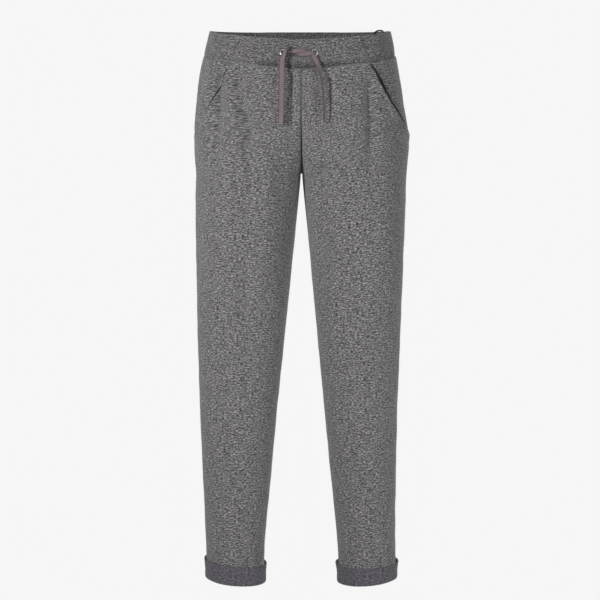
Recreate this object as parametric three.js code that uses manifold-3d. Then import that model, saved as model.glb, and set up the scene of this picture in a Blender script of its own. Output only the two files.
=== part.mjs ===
// Jogger sweatpants in the form they have when worn, hollow and open at the waist and both hems.
// Units are millimetres. +Z is up, the front faces -Y and the wearer's left is +X.
// The origin is the middle of the waist, halfway up the waistband at the side seams.
import * as THREE from "three";
import { mergeVertices } from "three/addons/utils/BufferGeometryUtils.js";
import Module from "manifold-3d";

const wasm = await Module();
wasm.setup();

// Cloth and seams
const CLOTH = 1.8;
const SEAM_GAP = 0.3;
const ARC_HANDLE = 0.5523; // Bezier handle of a quarter circle, as a share of its radius
const HIP_HANDLE = 0.6;

// Waistband: folded double over the top edge, with a tunnel inside for the drawstring
const BAND_CLOTH = 1.6;
const TUNNEL = 2.6;
const BAND_THICKNESS = 2 * BAND_CLOTH + TUNNEL;
const BAND_HEIGHT = 50;
const BAND_LIFT = 0.4; // its lower edge above the waist seam
const BAND_SEAM = { foot: 124, head: 104 }; // distance of the band's slanted seams from the centre front

// Slanted pocket mouth in the front view, and the pocket bag behind it
const MOUTH_TOP = { x: 126, z: -56 };
const MOUTH_FOOT = { x: 193, z: -167 };
const MOUTH_BOW = 6.7;
const MOUTH_LIFT = { right: 1.2, left: 4.2 }; // how far each mouth stands open
const MOUTH_LIFT_REACH = 30;
const BAG_DEPTH = CLOTH + 1.4; // from the front's outer face to the bag behind it
const BAG_TOP_X = 92;
const BAG_FOOT_X = 112;
const BAG_ROUNDING = 2.5; // the bag's inner edge runs in over the lowest 1 / 2.5 of its height
const RAMP_START = 5;
const RAMP_LENGTH = 22;

// Turn-up at the hem: the height of its free edge on the outer and the inner side of the leg
const TURN_UP = {
  right: { outer: 32, inner: 28, flare: 1.4 },
  left: { outer: 26, inner: 29, flare: 2.4 },
};
const TURN_UP_CLOTH = 2.0;
const TURN_UP_GAP = 0.8;
const FOLD_DROP = 4.2;
const HEM_TILT = { acrossLeg: 0.087, frontToBack: 0.067 };

// Eyelets, with their distance from the centre front
const EYELET_X = { right: -31.5, left: 23 };
const EYELET_Z = -32.5;
const EYELET_HOLE = 3.8;
const EYELET_BARREL = 4.4;
const EYELET_FLANGE = 6.2;
const EYELET_WASHER = 5.4;
const EYELET_SIDES = 18;
const DRILL_REACH = 8;

// Drawstring tape: its free ends, each named for the eyelet that it comes out of
const TAPE_THICKNESS = 1.4;
const TAPE_THICKNESS_IN_TUNNEL = 1.0;
const TAPE_STEPS = 36;

// Hanger loop of narrow ribbon, sewn inside the back of the band
const RIBBON_WIDTH = 2.6;
const RIBBON_THICKNESS = 1.5;
const LOOP_STAND_OFF = 1.2;
const LOOP_STEPS = 18;

// Mesh density
const FRONT_COLUMNS = 18;
const BACK_COLUMNS = 12;
const HIP_COLUMNS = 11;
const FRONT_BAND_STATIONS = 20;
const BACK_BAND_STATIONS = 36;
const TURN_UP_STATIONS = 24;

// A table's rows as objects with named columns.
function table(columns, rows) {
  return rows.map((row) => Object.fromEntries(columns.map((name, i) => [name, row[i]])));
}

// The leg, from the hem to the fork: half of the garment, mirrored for the other side. `sway` is how
// far the outer side of both legs lies over to the wearer's right, as the garment stands.
const LEG_LEVELS = table(
  ["height", "outer", "inner", "seamY", "front", "back", "sway"],
  [
    [-960, 170.5, 67.0, 10, -42, 62, 0],
    [-900, 171.0, 65.5, 10, -43, 62, 1.6],
    [-830, 172.5, 59.0, 8, -49, 65, 2.8],
    [-750, 175.0, 51.0, 6, -56, 68, 4.2],
    [-660, 177.5, 42.5, 2, -64, 70, 5.0],
    [-560, 181.0, 32.5, -2, -73, 71, 4.8],
    [-460, 184.0, 22.5, -4, -82, 77, 4.0],
    [-365, 187.0, 13.5, -1, -91, 88, 2.7],
    [-295, 189.0, 6.5, 1, -96, 98, 1.8],
    [-240, 189.5, 1.0, 4, -99.5, 107, 0.6],
  ],
);

// Above the fork: the section runs from the rise seam, over a crest, to the side seam. `turn` is the
// angle at which it leaves the rise seam.
const HIP_LEVELS = table(
  [
    "height", "outer", "front", "frontAt", "back", "backAt",
    "frontRise", "frontRiseZ", "backRise", "backRiseZ", "turn", "sway",
  ],
  [
    [-222, 190.5, -102, 92, 112, 91, -30, -231, 42, -232, 72, 0.3],
    [-197, 192.5, -104.5, 86, 118, 87, -60, -218, 74, -218, 54, 0],
    [-168, 193.0, -106.5, 79, 123, 82, -82, -194, 98, -191, 36, 0],
    [-136, 190.0, -107, 71, 126, 76, -96, -161, 112, -151, 20, 1.5],
    [-102, 186.0, -105, 62, 122, 68, -102, -125, 115, -106, 9, 3.0],
    [-66, 181.5, -102.5, 54, 113, 58, -102, -92, 110, -60, 3, 3.5],
    [-19, 172.9, -99.5, 48, 103, 50, -99.5, -59.5, 102.5, -12, 0, 3.2],
    [24.5, 162.7, -95.0, 45, 98, 48, -95.0, -8.3, 97.5, 39, 0, 2.0],
  ],
);
const KNEE = 4;
const FORK = LEG_LEVELS.length - 1;
const WAIST_SEAM = FORK + HIP_LEVELS.length - 1;
const TOP_EDGE = WAIST_SEAM + 1;

// Soft troughs in the front view: where the trough runs from top to bottom, its depth and half its width.
const TROUGH_FADE = { top: 60, foot: 110 };
const LONG_TROUGH = [[-106, -70], [-96, -165], [-88, -226], [-88, -290], [-91, -390], [-94, -515], [-90, -620]];
const TROUGHS = [
  { depth: 3.2, half: 13, line: [[-139, -90], [-146, -155], [-153, -225], [-165, -290]] },
  { depth: 4.0, half: 14, line: LONG_TROUGH },
  { depth: 2.2, half: 13, line: [[27, -90], [35, -200], [43, -287], [39, -391], [37, -513]] },
  { depth: 3.4, half: 13, line: [[117, -90], [122, -165], [125, -226], [126, -290], [128, -370]] },
];
const BACK_TROUGHS = [
  { depth: 2.2, half: 15, line: [[-60, -185], [-84, -240], [-100, -320], [-104, -420]] },
  { depth: 2.2, half: 15, line: [[58, -190], [80, -245], [98, -330], [106, -430]] },
  { depth: 2.4, half: 14, line: [[-132, -150], [-140, -230], [-138, -330]] },
  { depth: 2.4, half: 14, line: [[134, -140], [140, -225], [137, -340]] },
];

// One flat row of numbers for each level, so that all of them can be interpolated alike.
const LEVELS = [
  ...LEG_LEVELS.map((l) => ({
    sideZ: l.height, outer: l.outer, seamY: l.seamY,
    front: l.front, frontAt: (l.outer + l.inner) / 2, back: l.back, backAt: (l.outer + l.inner) / 2,
    edgeX: l.inner, frontEdgeY: l.seamY, frontEdgeZ: l.height, backEdgeY: l.seamY, backEdgeZ: l.height,
    turn: 90, sway: l.sway,
  })),
  ...HIP_LEVELS.map((l) => ({
    sideZ: l.height, outer: l.outer, seamY: 2,
    front: l.front, frontAt: l.frontAt, back: l.back, backAt: l.backAt,
    edgeX: 0, frontEdgeY: l.frontRise, frontEdgeZ: l.frontRiseZ, backEdgeY: l.backRise, backEdgeZ: l.backRiseZ,
    turn: l.turn, sway: l.sway,
  })),
];

const clamp01 = (x) => Math.max(0, Math.min(1, x));
const ease = (x) => clamp01(x) ** 2 * (3 - 2 * clamp01(x));

// Catmull-Rom interpolation of one column of LEVELS between two rows, straight on past both.
function columnAt(name, v, first = 0, last = LEVELS.length - 1) {
  const i = Math.min(Math.max(Math.floor(v), first), last - 1);
  const f = v - i;
  const value = (k) => {
    if (k < first) return 2 * LEVELS[first][name] - LEVELS[first + 1][name];
    if (k > last) return 2 * LEVELS[last][name] - LEVELS[last - 1][name];
    return LEVELS[k][name];
  };
  const [a, b, c, d] = [value(i - 1), value(i), value(i + 1), value(i + 2)];
  return 0.5 * (2 * b + (c - a) * f + (2 * a - 5 * b + 4 * c - d) * f * f + (3 * b - a - 3 * c + d) * f ** 3);
}

// The inner edge of a front or back. It has a corner at the fork, so it isn't smoothed across that.
function edgeAt(face, v) {
  const rows = v <= FORK ? [0, FORK] : [FORK, LEVELS.length - 1];
  const x = v <= FORK ? columnAt("edgeX", v, ...rows) : Math.max(0, LEVELS[FORK].edgeX * (1 - (v - FORK) * 2));
  return { x, y: columnAt(`${face}EdgeY`, v, ...rows), z: columnAt(`${face}EdgeZ`, v, ...rows) };
}

const bezier = (p, q, r, s, f) =>
  p * (1 - f) ** 3 + 3 * q * f * (1 - f) ** 2 + 3 * r * f * f * (1 - f) + s * f ** 3;

// A point of the plain garment on its left side. v is the level and t runs from the inner edge to the
// side seam.
function plainPoint(face, v, t) {
  const forward = face === "front" ? -1 : 1;
  const edge = edgeAt(face, v);
  const crestX = columnAt(face === "front" ? "frontAt" : "backAt", v);
  const crestY = columnAt(face, v);
  const sideX = columnAt("outer", v);
  const sideY = columnAt("seamY", v);
  const turn = THREE.MathUtils.degToRad(THREE.MathUtils.clamp(columnAt("turn", v), 0, 90));
  const handle = v > FORK ? THREE.MathUtils.lerp(ARC_HANDLE, HIP_HANDLE, ease((v - FORK) / 4)) : ARC_HANDLE;
  const [dx, dy] = [crestX - edge.x, Math.abs(crestY - edge.y)];
  const innerLength = Math.hypot(dx, dy);
  const outerLength = Math.hypot(sideX - crestX, crestY - sideY);
  const split = innerLength / (innerLength + outerLength);
  let x;
  let y;
  if (t < split) {
    const f = t / split;
    const reach = ARC_HANDLE * (dx * Math.cos(turn) + dy * Math.sin(turn));
    x = bezier(edge.x, edge.x + reach * Math.cos(turn), crestX - ARC_HANDLE * dx, crestX, f);
    y = bezier(edge.y, edge.y + forward * reach * Math.sin(turn), crestY, crestY, f);
  } else {
    const f = (t - split) / (1 - split);
    x = bezier(crestX, crestX + handle * (sideX - crestX), sideX, sideX, f);
    y = bezier(crestY, crestY, sideY + handle * (crestY - sideY), sideY, f);
  }
  const round = 1 - Math.cos((t * Math.PI) / 2);
  const sloping = 1 - clamp01(Math.abs(y - sideY) / Math.abs(crestY - sideY));
  const share = face === "front" ? round : THREE.MathUtils.lerp(round, sloping, ease((v - FORK - 4) / 3));
  let z = THREE.MathUtils.lerp(edge.z, columnAt("sideZ", v), share);
  const hem = 1 - ease(v / 1.5);
  const hemLevel = LEG_LEVELS[0];
  z += hem * HEM_TILT.acrossLeg * (x - (hemLevel.outer + hemLevel.inner) / 2);
  z += hem * HEM_TILT.frontToBack * (y - hemLevel.seamY);
  return new THREE.Vector3(x, y, z);
}

// How deep a trough is at a point, from its line in the front view.
function troughAt(trough, x, z) {
  const { line, depth, half } = trough;
  const top = line[0][1];
  const foot = line[line.length - 1][1];
  if (z >= top || z <= foot) return 0;
  const i = line.findIndex(([, height], k) => k > 0 && z >= height);
  const [[x0, z0], [x1, z1]] = [line[i - 1], line[i]];
  const middle = x0 + ((x1 - x0) * (z - z0)) / (z1 - z0);
  const along = ease((top - z) / TROUGH_FADE.top) * ease((z - foot) / TROUGH_FADE.foot);
  return depth * along * Math.exp(-(((x - middle) / half) ** 2));
}

// Sum of the troughs, none where the two fronts or backs meet, and none on the sides.
function foldAt(side, face, point, normal) {
  const troughs = face === "front" ? TROUGHS : BACK_TROUGHS;
  const x = side * point.x;
  const depth = troughs.reduce((sum, trough) => sum + troughAt(trough, x, point.z), 0);
  return -depth * ease(point.x / 18) * ease((Math.abs(normal.y) - 0.15) / 0.4);
}

// Outward normal of the plain garment on its left side.
function plainNormal(face, v, t) {
  const step = 0.01;
  const level = THREE.MathUtils.clamp(v, step, TOP_EDGE - step);
  const across = plainPoint(face, v, Math.min(1, t + step)).sub(plainPoint(face, v, Math.max(0, t - step)));
  const up = plainPoint(face, level + step, t).sub(plainPoint(face, level - step, t));
  const normal = across.cross(up).normalize();
  return face === "front" ? normal : normal.negate();
}

// Where the section at level v crosses a line in the front view, given as x for each height.
function crossingAt(v, lineX, face = "front") {
  const beyond = (t) => {
    const p = plainPoint(face, v, t);
    return p.x - lineX(p.z);
  };
  if (beyond(1) <= 0) return 1;
  let [low, high] = [0, 1];
  for (let i = 0; i < 40; i++) {
    const middle = (low + high) / 2;
    if (beyond(middle) > 0) high = middle;
    else low = middle;
  }
  return (low + high) / 2;
}

// The pocket mouth as a value of t, or 1 below it.
function mouthAt(v) {
  return crossingAt(v, (z) => {
    const along = (MOUTH_TOP.z - z) / (MOUTH_TOP.z - MOUTH_FOOT.z);
    const bow = 4 * MOUTH_BOW * along * (1 - along);
    return THREE.MathUtils.lerp(MOUTH_TOP.x, MOUTH_FOOT.x, along) - Math.max(0, bow);
  });
}

// The level at which the pocket mouth reaches the side seam.
function findMouthFoot() {
  let [low, high] = [FORK + 1, WAIST_SEAM];
  for (let i = 0; i < 40; i++) {
    const middle = (low + high) / 2;
    if (mouthAt(middle) < 1) high = middle;
    else low = middle;
  }
  return high;
}
const MOUTH_FOOT_LEVEL = findMouthFoot();
const MOUTH_LEVELS = [0, 0.12, 0.3].map((step) => MOUTH_FOOT_LEVEL + step);

// How far the front stands off beside the pocket mouth.
function liftAt(sideName, v, t) {
  if (v <= MOUTH_FOOT_LEVEL) return 0;
  const mouth = mouthAt(v);
  const away = plainPoint("front", v, t).distanceTo(plainPoint("front", v, mouth));
  const along = (v - MOUTH_FOOT_LEVEL) / (WAIST_SEAM - MOUTH_FOOT_LEVEL);
  return MOUTH_LIFT[sideName] * Math.sin(Math.PI * clamp01(along)) ** 0.8 * ease(1 - away / MOUTH_LIFT_REACH);
}

// A point of the garment's outer face, moved out by `out` and mirrored to its side.
function clothPoint(sideName, face, v, t, out = 0, lifted = false) {
  const side = sideName === "left" ? 1 : -1;
  const point = plainPoint(face, v, t);
  const normal = plainNormal(face, v, t);
  const fold = v < WAIST_SEAM ? foldAt(side, face, point, normal) : 0;
  const lift = lifted ? liftAt(sideName, v, t) : 0;
  const sway = (columnAt("sway", v) * point.x) / columnAt("outer", v);
  point.addScaledVector(normal, fold + lift + out);
  return new THREE.Vector3(side * point.x - sway, point.y, point.z);
}

// A closed geometry from points and triangles, turned so that its faces point out.
function closedGeometry(points, triangles) {
  const volume = triangles.reduce((sum, [a, b, c]) => {
    return sum + points[a].dot(new THREE.Vector3().crossVectors(points[b], points[c]));
  }, 0);
  const index = triangles.flatMap(([a, b, c]) => (volume < 0 ? [a, c, b] : [a, b, c]));
  const geometry = new THREE.BufferGeometry();
  geometry.setAttribute("position", new THREE.Float32BufferAttribute(points.flatMap((p) => p.toArray()), 3));
  geometry.setIndex(index);
  geometry.computeVertexNormals();
  return geometry;
}

// A wall between two grids of points, outer[row][column] and inner[row][column].
function wall(outer, inner) {
  const rows = outer.length;
  const columns = outer[0].length;
  const points = [...outer.flat(), ...inner.flat()];
  const at = (layer, r, c) => layer * rows * columns + r * columns + c;
  const triangles = [];
  const quad = (a, b, c, d) => triangles.push([a, b, c], [a, c, d]);
  for (let r = 0; r < rows - 1; r++) {
    for (let c = 0; c < columns - 1; c++) {
      quad(at(0, r, c), at(0, r, c + 1), at(0, r + 1, c + 1), at(0, r + 1, c));
      quad(at(1, r, c), at(1, r + 1, c), at(1, r + 1, c + 1), at(1, r, c + 1));
    }
  }
  for (let c = 0; c < columns - 1; c++) {
    quad(at(1, 0, c), at(1, 0, c + 1), at(0, 0, c + 1), at(0, 0, c));
    quad(at(0, rows - 1, c), at(0, rows - 1, c + 1), at(1, rows - 1, c + 1), at(1, rows - 1, c));
  }
  for (let r = 0; r < rows - 1; r++) {
    quad(at(1, r + 1, 0), at(1, r, 0), at(0, r, 0), at(0, r + 1, 0));
    quad(at(0, r + 1, columns - 1), at(0, r, columns - 1), at(1, r, columns - 1), at(1, r + 1, columns - 1));
  }
  return closedGeometry(points, triangles);
}

// A solid through stations, each a list of closed loops: the outer one, then a hollow's if there is one.
// `contours` are the same loops in 2-D. The stations close on themselves, or both ends are capped.
function loft(stations, contours, closed = false) {
  const count = contours.flat().length;
  const points = stations.flat(2);
  const triangles = [];
  const spans = closed ? stations.length : stations.length - 1;
  for (let i = 0; i < spans; i++) {
    const here = i * count;
    const next = ((i + 1) % stations.length) * count;
    let first = 0;
    for (const contour of contours) {
      for (let k = 0; k < contour.length; k++) {
        const [p, q] = [first + k, first + ((k + 1) % contour.length)];
        triangles.push([here + p, here + q, next + q], [here + p, next + q, next + p]);
      }
      first += contour.length;
    }
  }
  if (!closed) {
    const last = (stations.length - 1) * count;
    for (const [a, b, c] of THREE.ShapeUtils.triangulateShape(contours[0], contours.slice(1))) {
      triangles.push([a, c, b], [last + a, last + b, last + c]);
    }
  }
  return closedGeometry(points, triangles);
}

// Levels from one to another: the tables' rows, with one between each two of them above the knee.
function levelsBetween(low, high, extra = []) {
  const found = [low, high, ...extra];
  for (let level = Math.ceil(low); level < high; level++) {
    found.push(level);
    if (level >= KNEE) found.push(level + 0.5);
  }
  const inside = found.filter((v) => v >= low && v <= high).sort((a, b) => a - b);
  const kept = (v, i) => i === 0 || extra.includes(v) || v === high || v - inside[i - 1] > 0.08;
  return inside.filter(kept).filter((v, i, all) => i === all.length - 1 || all[i + 1] - v > 1e-3);
}

// t moved off an edge by half a seam gap.
function inset(face, v, t, towards) {
  const probe = 0.01 * Math.sign(towards - t);
  const length = plainPoint(face, v, t).distanceTo(plainPoint(face, v, t + probe));
  return t + (probe * SEAM_GAP) / 2 / length;
}

// Levels of the panels' lower and upper edges, clear of the hem's fold and the waistband.
const PANEL_FOOT = 0;
const LAST_LEVEL_HEIGHT = 32;
const PANEL_HEAD = WAIST_SEAM - SEAM_GAP / LAST_LEVEL_HEIGHT;

// A front: inseam and centre front to side seam, or to the pocket mouth above its foot.
function frontGeometry(sideName) {
  const levels = levelsBetween(PANEL_FOOT, PANEL_HEAD, MOUTH_LEVELS);
  const grid = (depth) =>
    levels.map((v) => {
      const start = inset("front", v, 0, 1);
      const end = v > MOUTH_FOOT_LEVEL ? mouthAt(v) : inset("front", v, 1, 0);
      return Array.from({ length: FRONT_COLUMNS + 1 }, (_, c) => {
        const t = THREE.MathUtils.lerp(start, end, c / FRONT_COLUMNS);
        return clothPoint(sideName, "front", v, t, -depth, true);
      });
    });
  return wall(grid(0), grid(CLOTH));
}

// A back: inseam and centre back to side seam.
function backGeometry(sideName) {
  const levels = levelsBetween(PANEL_FOOT, PANEL_HEAD);
  const grid = (depth) =>
    levels.map((v) =>
      Array.from({ length: BACK_COLUMNS + 1 }, (_, c) => {
        const t = THREE.MathUtils.lerp(inset("back", v, 0, 1), inset("back", v, 1, 0), c / BACK_COLUMNS);
        return clothPoint(sideName, "back", v, t, -depth);
      }),
    );
  return wall(grid(0), grid(CLOTH));
}

// The hip panel shows between pocket mouth and side seam. It goes on behind the front as the pocket bag.
function hipPanelGeometry(sideName) {
  const levels = levelsBetween(FORK + 1, PANEL_HEAD, MOUTH_LEVELS);
  const grid = (depth) =>
    levels.map((v) => {
      const up = (v - levels[0]) / (PANEL_HEAD - levels[0]);
      const start = crossingAt(v, () => THREE.MathUtils.lerp(BAG_FOOT_X, BAG_TOP_X, ease(up * BAG_ROUNDING)));
      const end = inset("front", v, 1, 0);
      const mouth = plainPoint("front", v, mouthAt(v));
      return Array.from({ length: HIP_COLUMNS + 1 }, (_, c) => {
        const t = THREE.MathUtils.lerp(start, end, c / HIP_COLUMNS);
        const past = t > mouthAt(v) ? plainPoint("front", v, t).distanceTo(mouth) : 0;
        const under = BAG_DEPTH * (1 - ease((past - RAMP_START) / RAMP_LENGTH));
        return clothPoint(sideName, "front", v, t, -under - depth);
      });
    });
  return wall(grid(0), grid(CLOTH));
}

// The band's section: depth under its outer face and height above the waist seam, with the tunnel as a
// hollow.
const BAND_SHOULDER = 44;
const BAND_SECTION = [
  [
    [0, BAND_LIFT], [BAND_THICKNESS, BAND_LIFT], [BAND_THICKNESS, BAND_SHOULDER], [BAND_THICKNESS - 0.6, 48.2],
    [BAND_THICKNESS / 2, BAND_HEIGHT], [0.6, 48.2], [0, BAND_SHOULDER],
  ],
  [
    [BAND_CLOTH, 1.6], [BAND_CLOTH, BAND_SHOULDER], [BAND_THICKNESS / 2, 47.8],
    [BAND_THICKNESS - BAND_CLOTH, BAND_SHOULDER], [BAND_THICKNESS - BAND_CLOTH, 1.6],
  ],
];

function bandSeamAt(v) {
  return crossingAt(v, () => THREE.MathUtils.lerp(BAND_SEAM.foot, BAND_SEAM.head, v - WAIST_SEAM));
}

// A part of the band, through stations that each give side, face and t at a level.
function bandGeometry(stations) {
  const contours = BAND_SECTION.map((loop) => loop.map(([depth, height]) => new THREE.Vector2(depth, height)));
  const loops = stations.map((place) =>
    BAND_SECTION.map((loop) =>
      loop.map(([depth, height]) => {
        const v = WAIST_SEAM + height / BAND_HEIGHT;
        const { side, face, t } = place(v);
        return clothPoint(side, face, v, t, -depth);
      }),
    ),
  );
  return loft(loops, contours);
}

function frontBandGeometry() {
  const stations = Array.from({ length: FRONT_BAND_STATIONS + 1 }, (_, i) => (v) => {
    const along = (2 * i) / FRONT_BAND_STATIONS - 1;
    const t = Math.abs(along) * inset("front", v, bandSeamAt(v), 0);
    return { side: along < 0 ? "right" : "left", face: "front", t };
  });
  return bandGeometry(stations);
}

// From the left seam round the back to the right one, with t counted on from 1 to 2 on the back.
function backBandGeometry() {
  const stations = Array.from({ length: BACK_BAND_STATIONS + 1 }, (_, i) => (v) => {
    const along = (2 * i) / BACK_BAND_STATIONS - 1;
    const round = THREE.MathUtils.lerp(2, inset("front", v, bandSeamAt(v), 1), Math.abs(along));
    const side = along < 0 ? "left" : "right";
    return round < 1 ? { side, face: "front", t: round } : { side, face: "back", t: 2 - round };
  });
  return bandGeometry(stations);
}

// The turn-up: the hem's cloth folded outwards and up around the leg. Its section gives the distance
// out from the leg and the height above the hem, where `rise` is the height of the free edge.
function turnUpSection(rise, flare) {
  const inner = TURN_UP_GAP;
  const outer = TURN_UP_GAP + TURN_UP_CLOTH;
  return [
    [-CLOTH, -SEAM_GAP], [-CLOTH, -2.2], [-0.6, -FOLD_DROP + 0.4], [0.8, -FOLD_DROP], [2.2, -FOLD_DROP + 0.7],
    [outer + 0.2, -1.4], [outer + 0.1, 8], [outer + 0.3 * flare, 0.6 * rise], [outer + flare, rise - 0.6],
    [outer + flare - 1, rise], [inner + flare, rise - 0.6], [inner + 0.3 * flare, 0.6 * rise], [inner, 8],
    [inner, -0.8], [0, -1.6], [0, -SEAM_GAP],
  ];
}

function turnUpGeometry(sideName) {
  const { outer, inner, flare } = TURN_UP[sideName];
  const hem = LEG_LEVELS[0];
  const levelHeight = LEG_LEVELS[1].height - hem.height;
  const contour = turnUpSection(outer, flare).map(([out, up]) => new THREE.Vector2(out, up));
  const stations = Array.from({ length: TURN_UP_STATIONS }, (_, i) => {
    const round = (2 * i) / TURN_UP_STATIONS;
    const face = round < 1 ? "front" : "back";
    const t = round < 1 ? round : 2 - round;
    const across = (plainPoint(face, 0, t).x - hem.inner) / (hem.outer - hem.inner);
    const rise = THREE.MathUtils.lerp(inner, outer, across);
    return [turnUpSection(rise, flare).map(([out, up]) => clothPoint(sideName, face, up / levelHeight, t, out))];
  });
  return loft(stations, [contour], true);
}

// Half of the eyelet's section: distance from its axis and height above the band's outer face.
const EYELET_SECTION = [
  [EYELET_HOLE, -2.2], [EYELET_HOLE, 0.8], [4.2, 1.25], [5.0, 1.4], [5.8, 1.1], [EYELET_FLANGE, 0.35],
  [EYELET_BARREL, 0.35], [EYELET_BARREL, -1.8], [EYELET_WASHER, -1.8], [EYELET_WASHER, -2.2],
  [EYELET_HOLE, -2.2],
];

// Moves a geometry made about the Y axis to an eyelet, with +Y pointing out of the band there.
function putAtEyelet(geometry, sideName) {
  const t = (v) => crossingAt(v, () => Math.abs(EYELET_X[sideName]));
  let [low, high] = [WAIST_SEAM, TOP_EDGE];
  for (let i = 0; i < 30; i++) {
    const v = (low + high) / 2;
    if (plainPoint("front", v, t(v)).z > EYELET_Z) high = v;
    else low = v;
  }
  const face = clothPoint(sideName, "front", low, t(low));
  const out = clothPoint(sideName, "front", low, t(low), 1).sub(face);
  geometry.applyQuaternion(new THREE.Quaternion().setFromUnitVectors(new THREE.Vector3(0, 1, 0), out));
  return geometry.translate(face.x, face.y, face.z);
}

function eyeletGeometry(sideName) {
  const profile = EYELET_SECTION.map(([radius, out]) => new THREE.Vector2(radius, out));
  return putAtEyelet(new THREE.LatheGeometry(profile.reverse(), EYELET_SIDES), sideName);
}

function solidOf(geometry) {
  const bare = geometry.clone();
  bare.deleteAttribute("normal");
  bare.deleteAttribute("uv");
  const merged = mergeVertices(bare, 1e-4);
  const vertProperties = new Float32Array(merged.attributes.position.array);
  const triVerts = new Uint32Array(merged.index.array);
  return new wasm.Manifold(new wasm.Mesh({ numProp: 3, vertProperties, triVerts }));
}

function geometryOf(solid) {
  const mesh = solid.getMesh();
  const geometry = new THREE.BufferGeometry();
  geometry.setAttribute("position", new THREE.BufferAttribute(new Float32Array(mesh.vertProperties), 3));
  geometry.setIndex(Array.from(mesh.triVerts));
  geometry.computeVertexNormals();
  return geometry;
}

// The front of the band with a hole through its outer layer for each eyelet.
function piercedBandGeometry() {
  let band = solidOf(frontBandGeometry());
  for (const sideName of Object.keys(EYELET_X)) {
    const radius = EYELET_BARREL + SEAM_GAP;
    const cutter = new THREE.CylinderGeometry(radius, radius, DRILL_REACH, EYELET_SIDES);
    cutter.translate(0, DRILL_REACH / 2 - BAND_CLOTH - TUNNEL / 2, 0);
    band = band.subtract(solidOf(putAtEyelet(cutter, sideName)));
  }
  return geometryOf(band);
}

// Each free end of the drawstring. It comes along the tunnel and out through its eyelet, crosses the
// centre front with the other end in a loose half knot, turns down and hangs. wx, wy and wz give the
// direction of its width.
const TAPE_COLUMNS = ["x", "y", "z", "wx", "wy", "wz", "width"];
const TAPES = {
  right: table(TAPE_COLUMNS, [
    [-42.0, -93.8, -32.5, 0, 0.09, 1, 6.0],
    [-37.0, -93.8, -32.5, 0, 0.09, 1, 6.0],
    [-33.2, -94.6, -32.5, 0, 0.09, 1, 5.6],
    [-31.5, -97.4, -32.6, 0, 0.09, 1, 5.6],
    [-29.8, -99.7, -33.0, 0, 0, 1, 6.0],
    [-25.5, -100.2, -34.2, 0, 0, 1, 6.2],
    [-16.0, -100.1, -36.2, 0, 0, 1, 6.6],
    [-4.0, -100.9, -37.4, 0, 0, 1, 7.0],
    [7.0, -102.8, -37.4, 0, 0, 1, 7.4],
    [16.5, -104.4, -37.4, 0.1, 0, 1, 8.2],
    [23.0, -105.6, -40.4, 0.8, 0, 0.75, 9.0],
    [26.2, -106.8, -47.5, 1, 0.1, 0.25, 9.0],
    [29.2, -108.6, -57.0, 0.9, 0.5, 0.1, 9.0],
    [32.0, -110.6, -68.0, 0.65, 0.8, 0, 9.0],
    [34.6, -112.2, -84.0, 0.45, 0.9, 0, 9.0],
    [37.0, -113.2, -106.0, 0.4, 0.9, 0, 9.0],
    [39.2, -113.8, -130.0, 0.5, 0.87, 0, 9.0],
    [40.6, -114.0, -155.0, 0.6, 0.8, 0, 9.0],
  ]),
  left: table(TAPE_COLUMNS, [
    [33.5, -93.8, -32.5, 0, 0.09, 1, 6.0],
    [28.5, -93.8, -32.5, 0, 0.09, 1, 6.0],
    [24.7, -94.6, -32.5, 0, 0.09, 1, 5.6],
    [23.0, -97.4, -32.4, 0, 0.09, 1, 5.6],
    [21.3, -99.7, -32.0, 0, 0, 1, 6.0],
    [17.0, -100.4, -31.2, 0, 0, 1, 6.2],
    [7.0, -100.6, -29.8, 0, 0, 1, 6.8],
    [-4.0, -102.2, -29.0, 0, 0, 1, 8.0],
    [-13.0, -104.2, -29.2, 0, 0.1, 1, 9.0],
    [-19.5, -105.6, -29.6, -0.1, 0.5, 0.8, 9.0],
    [-25.2, -106.4, -31.6, -0.3, 0.85, 0.4, 9.0],
    [-30.0, -107.2, -37.2, -0.8, 0.55, 0.15, 9.0],
    [-32.8, -108.0, -44.0, -1, 0.15, 0, 9.0],
    [-33.8, -109.4, -52.0, -1, 0, 0, 9.0],
    [-33.8, -112.2, -67.0, -1, 0, 0, 9.0],
    [-34.0, -114.2, -88.0, -1, 0, 0, 9.0],
    [-34.4, -115.2, -112.0, -1, 0, 0, 9.0],
    [-34.8, -115.6, -136.0, -1, 0.05, 0, 9.0],
    [-35.2, -115.6, -158.0, -1, 0.1, 0, 9.0],
  ]),
};

// The tape's rounded flat section, as shares of half its width and half its thickness.
const TAPE_SECTION = [[1, -0.4], [1, 0.4], [0.8, 1], [-0.8, 1], [-1, 0.4], [-1, -0.4], [-0.8, -1], [0.8, -1]];

// Stations of a flat section along a route of rows, with its width turned as the rows say.
function flatStations(rows, steps, thicknessAt) {
  const points = rows.map((row) => new THREE.Vector3(row.x, row.y, row.z));
  const route = new THREE.CatmullRomCurve3(points, false, "centripetal");
  return Array.from({ length: steps + 1 }, (_, i) => {
    const u = i / steps;
    const centre = route.getPoint(u);
    const tangent = route.getTangent(u);
    const place = u * (rows.length - 1);
    const k = Math.min(Math.floor(place), rows.length - 2);
    const f = place - k;
    const mix = (name) => THREE.MathUtils.lerp(rows[k][name], rows[k + 1][name], ease(f));
    const across = new THREE.Vector3(mix("wx"), mix("wy"), mix("wz"));
    across.addScaledVector(tangent, -across.dot(tangent)).normalize();
    const normal = new THREE.Vector3().crossVectors(tangent, across);
    across.multiplyScalar(mix("width") / 2);
    normal.multiplyScalar(thicknessAt(place) / 2);
    return [TAPE_SECTION.map(([a, b]) => centre.clone().addScaledVector(across, a).addScaledVector(normal, b))];
  });
}

const flatContour = TAPE_SECTION.map(([a, b]) => new THREE.Vector2(a, b));

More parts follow.
